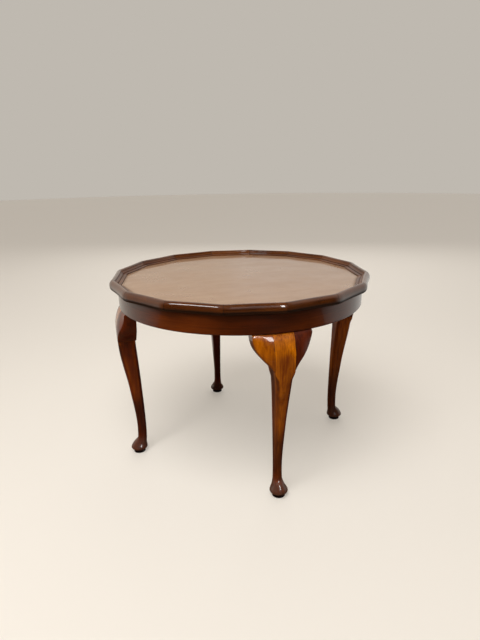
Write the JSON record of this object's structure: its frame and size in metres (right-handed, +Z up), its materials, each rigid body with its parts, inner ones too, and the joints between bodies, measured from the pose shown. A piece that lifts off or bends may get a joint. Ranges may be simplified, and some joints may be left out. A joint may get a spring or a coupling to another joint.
{
  "type": "coffee table",
  "caption": "Round coffee table with a dished top, a raised rim of shallow scallops mitred at their points, a plain round apron, and cabriole legs with knee ears and pad feet.",
  "frame": {"origin": "on the floor, under the middle of the top", "axes": "+Z is up along the table's axis, and the front leg stands on -Y"},
  "size_m": [0.6642, 0.6642, 0.475],
  "materials": {
    "top_walnut": "gloss polished walnut",
    "rim_walnut": "gloss polished walnut",
    "apron_walnut": "gloss polished walnut",
    "leg_walnut": "gloss polished walnut",
    "block_beech": "unpolished beech",
    "screw_steel": "plain steel"
  },
  "bodies": {
    "root": {"top_panel": "top_walnut", "rim_moulding_01": "rim_walnut", "rim_moulding_02": "rim_walnut", "rim_moulding_03": "rim_walnut", "rim_moulding_04": "rim_walnut", "rim_moulding_05": "rim_walnut", "rim_moulding_06": "rim_walnut", "rim_moulding_07": "rim_walnut", "rim_moulding_08": "rim_walnut", "rim_moulding_09": "rim_walnut", "rim_moulding_10": "rim_walnut", "rim_moulding_11": "rim_walnut", "rim_moulding_12": "rim_walnut", "rim_moulding_13": "rim_walnut", "rim_moulding_14": "rim_walnut", "rim_moulding_15": "rim_walnut", "rim_moulding_16": "rim_walnut", "apron_hoop": "apron_walnut", "leg_front": "leg_walnut", "leg_right": "leg_walnut", "leg_back": "leg_walnut", "leg_left": "leg_walnut", "knee_ear_front_left": "leg_walnut", "knee_ear_front_right": "leg_walnut", "knee_ear_right_left": "leg_walnut", "knee_ear_right_right": "leg_walnut", "knee_ear_back_left": "leg_walnut", "knee_ear_back_right": "leg_walnut", "knee_ear_left_left": "leg_walnut", "knee_ear_left_right": "leg_walnut", "glue_block_front_left": "block_beech", "glue_block_front_right": "block_beech", "glue_block_right_left": "block_beech", "glue_block_right_right": "block_beech", "glue_block_back_left": "block_beech", "glue_block_back_right": "block_beech", "glue_block_left_left": "block_beech", "glue_block_left_right": "block_beech", "post_screw_front_lower": "screw_steel", "post_screw_front_upper": "screw_steel", "post_screw_right_lower": "screw_steel", "post_screw_right_upper": "screw_steel", "post_screw_back_lower": "screw_steel", "post_screw_back_upper": "screw_steel", "post_screw_left_lower": "screw_steel", "post_screw_left_upper": "screw_steel", "block_screw_front_left": "screw_steel", "block_screw_front_right": "screw_steel", "block_screw_right_left": "screw_steel", "block_screw_right_right": "screw_steel", "block_screw_back_left": "screw_steel", "block_screw_back_right": "screw_steel", "block_screw_left_left": "screw_steel", "block_screw_left_right": "screw_steel"}
  },
  "joints": []
}
